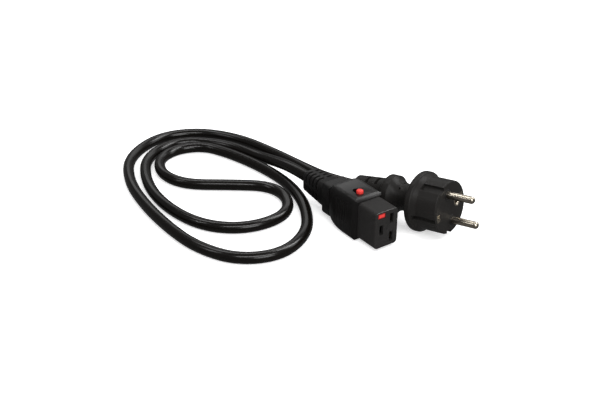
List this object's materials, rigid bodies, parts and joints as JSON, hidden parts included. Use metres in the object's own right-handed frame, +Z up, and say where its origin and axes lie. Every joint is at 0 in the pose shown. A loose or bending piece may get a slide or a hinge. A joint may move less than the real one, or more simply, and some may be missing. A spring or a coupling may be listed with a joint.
{
  "type": "locking c19 power cord",
  "caption": "Locking C19 appliance connector with red release slider, on a round black cord ending in a moulded mains plug with round pins and side earth clips",
  "frame": {"origin": "floor level under the middle of the connector, cord and plug left out", "axes": "+Z is up; +Y runs from the connector's mating face back along its axis to the cord; +X is to the right seen from behind the mating face's front, on the line and neutral side"},
  "size_m": [0.1637, 0.2548, 0.0396],
  "materials": {
    "nose_plastic": "fine moulded texture",
    "shell_plastic": "satin moulded",
    "red_plastic": "smooth moulded",
    "moulded_pvc": "satin soft PVC",
    "cord_sheath": "smooth PVC sheath with a soft sheen",
    "bridge_plastic": "moulded",
    "nickel_plate": "nickel plated brass",
    "contact_brass": "bright stamped strip",
    "spring_steel": "bright drawn",
    "brown_insulation": "extruded",
    "blue_insulation": "extruded",
    "earth_insulation": "extruded"
  },
  "bodies": {
    "connector": {"contact_carrier": "nose_plastic", "outer_shell": "shell_plastic", "slider_spring": "spring_steel", "line_contact": "contact_brass", "neutral_contact": "contact_brass", "earth_contact": "contact_brass", "connector_line_lead": "brown_insulation", "connector_neutral_lead": "blue_insulation", "connector_earth_lead": "earth_insulation", "rear_moulding": "moulded_pvc", "power_cord": "cord_sheath", "plug_body": "moulded_pvc", "pin_bridge": "bridge_plastic", "line_pin": "nickel_plate", "neutral_pin": "nickel_plate", "earth_strap": "nickel_plate", "earth_socket": "nickel_plate", "plug_line_lead": "brown_insulation", "plug_neutral_lead": "blue_insulation", "plug_earth_lead": "earth_insulation"},
    "slider": {"release_slider": "red_plastic"},
    "latch": {"lock_plate": "spring_steel"}
  },
  "joints": [
    {"name": "release_slide", "type": "slide", "parent": "connector", "child": "slider", "axis": [0, 1, 0], "range_m": [0, 0.0035], "stiffness_N_per_m": 600, "springref_m": -0.001, "deforming": ["slider_spring"]},
    {"name": "plate_tilt", "type": "hinge", "parent": "connector", "child": "latch", "pos_m": [-0.004, -0.0325, 0.0109], "axis": [-1, 0, 0], "range_deg": [0, 16.6]}
  ],
  "couplings": [
    {"joint": "plate_tilt", "follows": "release_slide", "rad_per_m": 82.778}
  ]
}
